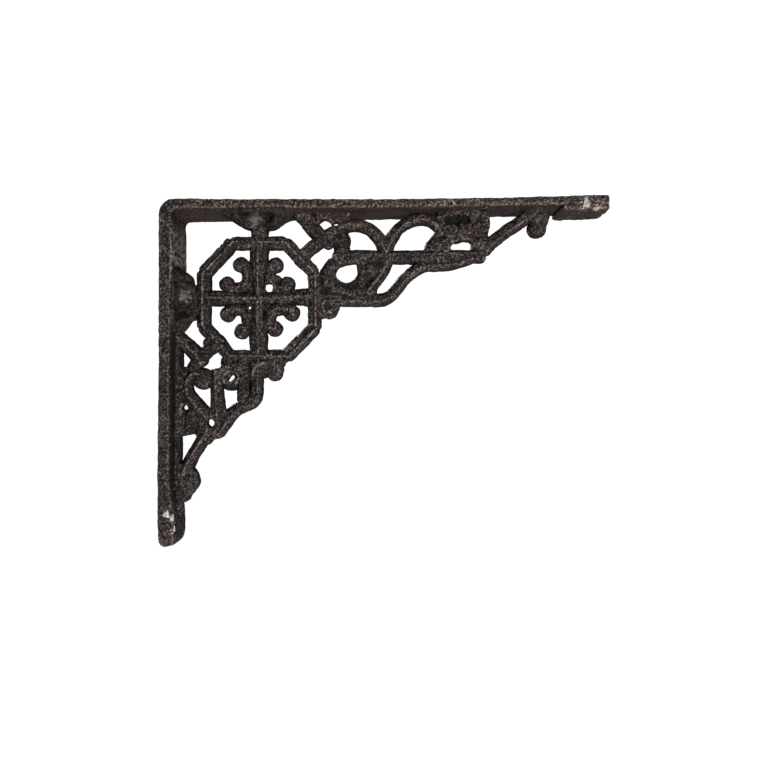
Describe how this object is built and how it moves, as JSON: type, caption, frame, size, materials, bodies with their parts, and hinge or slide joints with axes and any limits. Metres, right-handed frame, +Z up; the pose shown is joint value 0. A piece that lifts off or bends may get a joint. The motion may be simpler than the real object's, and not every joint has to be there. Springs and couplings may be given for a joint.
{
  "type": "shelf bracket",
  "caption": "Cast-iron shelf bracket: flat wall leg and shelf arm joined by pierced scrollwork, with an octagon and cross in the corner and screw bosses on both plates.",
  "frame": {"origin": "outer corner of the bracket, where the wall face meets the shelf face, in the middle of its width", "axes": "+X from the wall along the shelf arm, +Z up out of the shelf face, Y across the plates' width; the wall face is x = 0 and the shelf face is z = 0"},
  "size_m": [0.2022, 0.025, 0.1562],
  "materials": {
    "cast_iron": "rough as-cast surface with sand grain, dark brown-black with light speckles and worn bright spots"
  },
  "bodies": {
    "root": {"wall_leg": "cast_iron", "shelf_arm": "cast_iron", "arm_tip_pad": "cast_iron", "leg_screw_boss": "cast_iron", "arm_screw_boss": "cast_iron", "octagon_ring": "cast_iron", "octagon_stem": "cast_iron", "cross_upright": "cast_iron", "cross_bar_left": "cast_iron", "cross_bar_right": "cast_iron", "scroll_upper_left": "cast_iron", "scroll_upper_right": "cast_iron", "scroll_lower_left": "cast_iron", "scroll_lower_right": "cast_iron", "arm_cross_brace": "cast_iron", "arm_inner_arch": "cast_iron", "arm_outer_arch": "cast_iron", "arm_middle_rail": "cast_iron", "arm_lower_rail": "cast_iron", "arm_curl": "cast_iron", "arm_loop_panel": "cast_iron", "arm_leaf_panel": "cast_iron", "arm_strut": "cast_iron", "arm_pendant": "cast_iron", "leg_border": "cast_iron", "leg_cross_brace": "cast_iron", "leg_hook_scroll": "cast_iron", "leg_stem": "cast_iron", "leg_ring_scroll": "cast_iron", "leg_inner_rail": "cast_iron", "leg_outer_rail": "cast_iron", "leg_curl": "cast_iron", "leg_knot": "cast_iron", "leg_leaf": "cast_iron", "leg_strut": "cast_iron", "leg_pendant": "cast_iron"}
  },
  "joints": []
}
